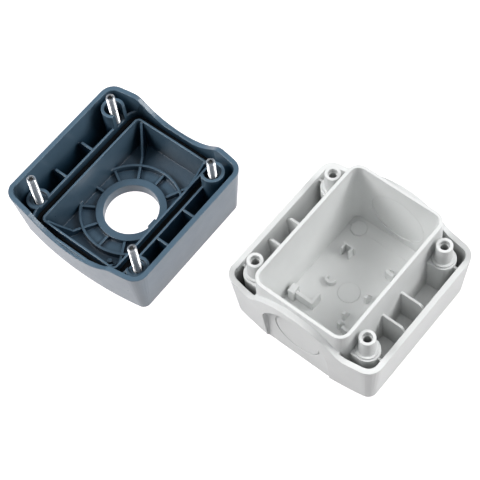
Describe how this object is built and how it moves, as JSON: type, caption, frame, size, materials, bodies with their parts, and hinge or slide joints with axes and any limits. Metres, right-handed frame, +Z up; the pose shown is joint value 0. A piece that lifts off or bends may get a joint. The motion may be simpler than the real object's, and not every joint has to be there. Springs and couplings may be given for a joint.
{
  "type": "pushbutton enclosure",
  "caption": "Opened pushbutton enclosure: grey back box with screw tubes, dark cover lying on its front with a keyed round hole, sealing ring and captive screws.",
  "frame": {"origin": "middle of the base's back face, which lies on the table", "axes": "+Z up out of the base's open side, +X across the base away from the cover, +Y along the box towards one cable entry"},
  "size_m": [0.1584, 0.0911, 0.0374],
  "materials": {
    "base_plastic": "satin moulded polycarbonate",
    "cover_plastic": "satin moulded polycarbonate",
    "seal_rubber": "matt elastomer",
    "screw_steel": "bright zinc plate"
  },
  "bodies": {
    "enclosure": {"base": "base_plastic", "cover": "cover_plastic", "sealing_ring": "seal_rubber"},
    "captive_screw_1": {"screw_1": "screw_steel"},
    "captive_screw_2": {"screw_2": "screw_steel"},
    "captive_screw_3": {"screw_3": "screw_steel"},
    "captive_screw_4": {"screw_4": "screw_steel"}
  },
  "joints": [
    {"name": "screw_1_slide", "type": "slide", "parent": "enclosure", "child": "captive_screw_1", "axis": [0, 0, 1], "range_m": [0, 0.0055]},
    {"name": "screw_2_slide", "type": "slide", "parent": "enclosure", "child": "captive_screw_2", "axis": [0, 0, 1], "range_m": [0, 0.0055]},
    {"name": "screw_3_slide", "type": "slide", "parent": "enclosure", "child": "captive_screw_3", "axis": [0, 0, 1], "range_m": [0, 0.0055]},
    {"name": "screw_4_slide", "type": "slide", "parent": "enclosure", "child": "captive_screw_4", "axis": [0, 0, 1], "range_m": [0, 0.0055]}
  ]
}
